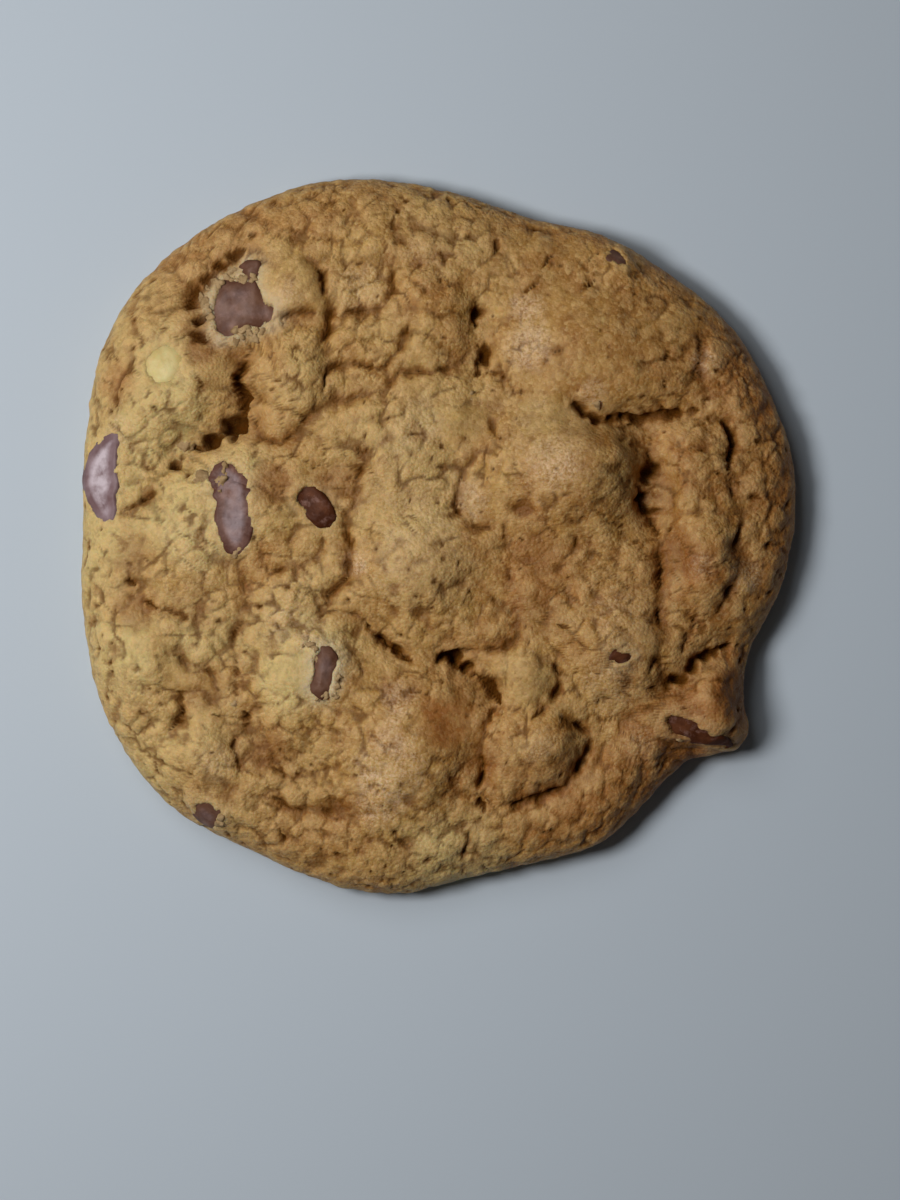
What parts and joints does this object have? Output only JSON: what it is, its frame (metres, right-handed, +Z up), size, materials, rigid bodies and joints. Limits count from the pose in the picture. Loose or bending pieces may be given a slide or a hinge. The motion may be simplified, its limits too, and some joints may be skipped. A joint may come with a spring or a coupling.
{
  "type": "chocolate chip cookie",
  "caption": "Baked round cookie with a lumpy, cracked golden crown, a rounded edge, a flat base, and chocolate chips and a piece of nut showing in its top.",
  "frame": {"origin": "middle of the cookie's outline, on the surface that it lies on", "axes": "+Z up out of the crown, +X and +Y across the flat base, the drawn-out corner lying towards +X and -Y"},
  "size_m": [0.085, 0.085, 0.0124],
  "materials": {
    "dough": "matte",
    "chocolate": "satin",
    "nut": "satin"
  },
  "bodies": {
    "root": {"dough": "dough", "chip_1": "chocolate", "chip_2": "chocolate", "chip_3": "chocolate", "chip_4": "chocolate", "chip_5": "chocolate", "chip_6": "chocolate", "chip_7": "chocolate", "chip_8": "chocolate", "chip_9": "chocolate", "nut": "nut"}
  },
  "joints": []
}
